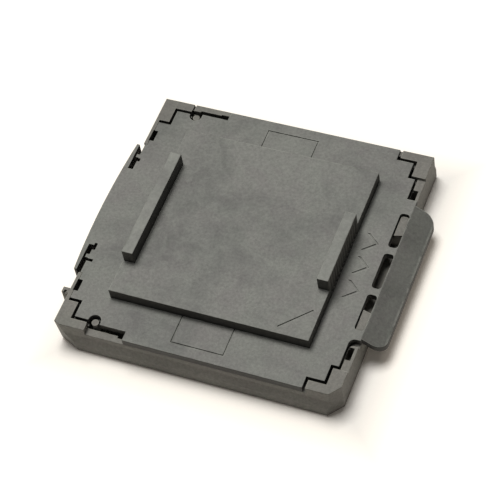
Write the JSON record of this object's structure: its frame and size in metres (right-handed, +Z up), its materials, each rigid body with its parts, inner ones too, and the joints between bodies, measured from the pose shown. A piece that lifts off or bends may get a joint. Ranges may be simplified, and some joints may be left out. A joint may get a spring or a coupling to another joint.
{
  "type": "ic socket",
  "caption": "Square land-grid socket for a processor, with spring contacts over solder balls, and a clip-on vacuum pick-up cover with finger ribs and a lift tab.",
  "frame": {"origin": "centre of the contact field on the board's face that the socket stands on", "axes": "+X to the side with the lift tab, +Y away from contact one's corner, +Z up from the board"},
  "size_m": [0.0472, 0.0432, 0.0094],
  "materials": {
    "housing": "fine grained, glass-filled liquid-crystal polymer",
    "cover": "fine grained, moulded",
    "contact": "gold-plated copper alloy",
    "solder": "satin, lead-free solder"
  },
  "bodies": {
    "root": {"socket_housing": "housing", "pickup_cover": "cover", "contacts_rows_01": "contact", "contacts_rows_02": "contact", "contacts_rows_03": "contact", "contacts_rows_04": "contact", "contacts_rows_05": "contact", "contacts_rows_06": "contact", "contacts_rows_07": "contact", "contacts_rows_08": "contact", "contacts_rows_09": "contact", "contacts_rows_10": "contact", "contacts_rows_11": "contact", "contacts_rows_12": "contact", "contacts_rows_13": "contact", "contacts_rows_14": "contact", "contacts_rows_15": "contact", "contacts_rows_16": "contact", "contacts_rows_17": "contact", "contacts_rows_18": "contact", "contacts_rows_19": "contact", "contacts_rows_20": "contact", "solder_balls_01": "solder", "solder_balls_02": "solder", "solder_balls_03": "solder", "solder_balls_04": "solder", "solder_balls_05": "solder", "solder_balls_06": "solder", "solder_balls_07": "solder", "solder_balls_08": "solder", "solder_balls_09": "solder", "solder_balls_10": "solder", "solder_balls_11": "solder", "solder_balls_12": "solder", "solder_balls_13": "solder", "solder_balls_14": "solder", "solder_balls_15": "solder", "solder_balls_16": "solder", "solder_balls_17": "solder", "solder_balls_18": "solder", "solder_balls_19": "solder", "solder_balls_20": "solder"}
  },
  "joints": []
}
